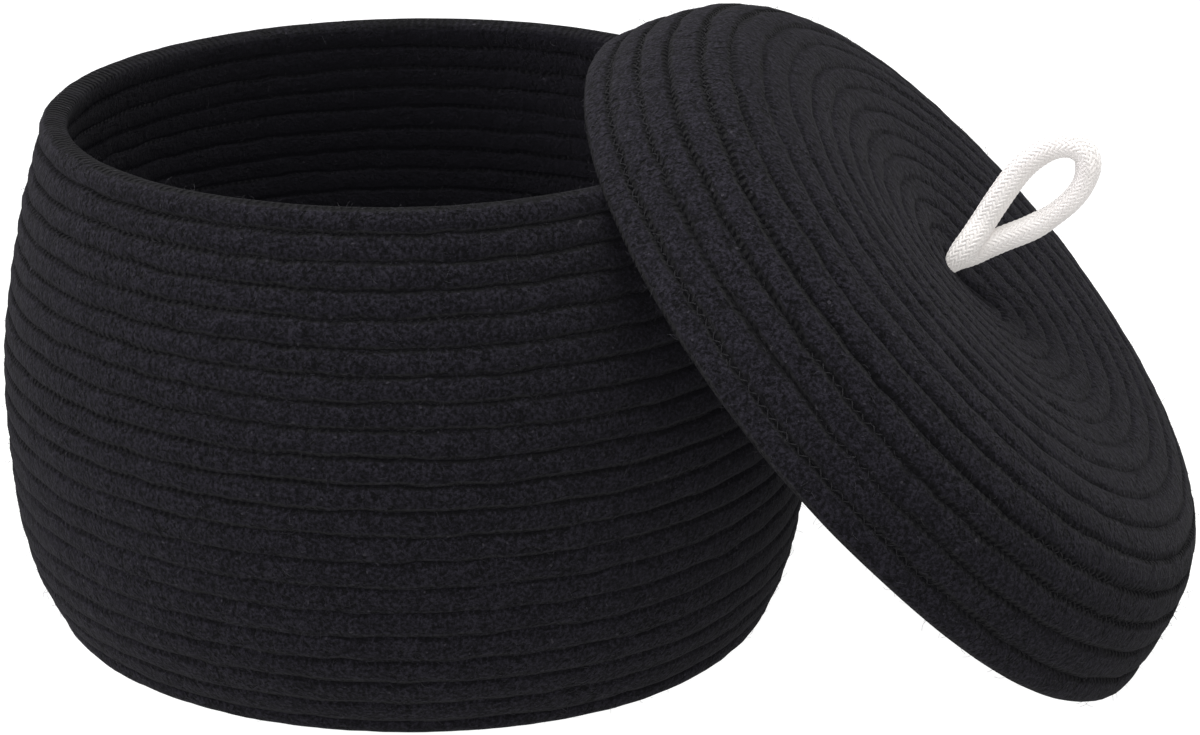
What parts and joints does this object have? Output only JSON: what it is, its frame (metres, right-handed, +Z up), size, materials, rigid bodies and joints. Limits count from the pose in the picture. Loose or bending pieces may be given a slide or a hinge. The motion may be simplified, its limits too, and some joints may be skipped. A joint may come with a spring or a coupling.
{
  "type": "rope storage basket",
  "caption": "Round black cotton-rope storage basket with a bulging belly, and its coiled rope lid with a white rope loop handle leaning on the rim.",
  "frame": {"origin": "centre of the basket's underside, on the surface that it stands on", "axes": "+Z up, +X towards the side where the lid leans, along the longest extent"},
  "size_m": [0.4553, 0.3051, 0.2373],
  "materials": {
    "black_rope": "coiled black cotton rope, soft and slightly fuzzy",
    "white_rope": "white braided cotton rope"
  },
  "bodies": {
    "basket": {"wall_coil": "black_rope", "base_coil": "black_rope"},
    "lid": {"lid_coil": "black_rope", "handle_end_upper": "white_rope", "handle_end_lower": "white_rope"},
    "handle": {"handle_loop": "white_rope"}
  },
  "joints": [
    {"name": "lid_lift", "type": "slide", "parent": "basket", "child": "lid", "axis": [0.7373, 0, 0.6756], "range_m": [0, 0.2]},
    {"name": "handle_flop", "type": "hinge", "parent": "lid", "child": "handle", "pos_m": [0.21877, 0, 0.15123], "axis": [0.6756, 0, -0.7373], "range_deg": [-60, 60]}
  ]
}
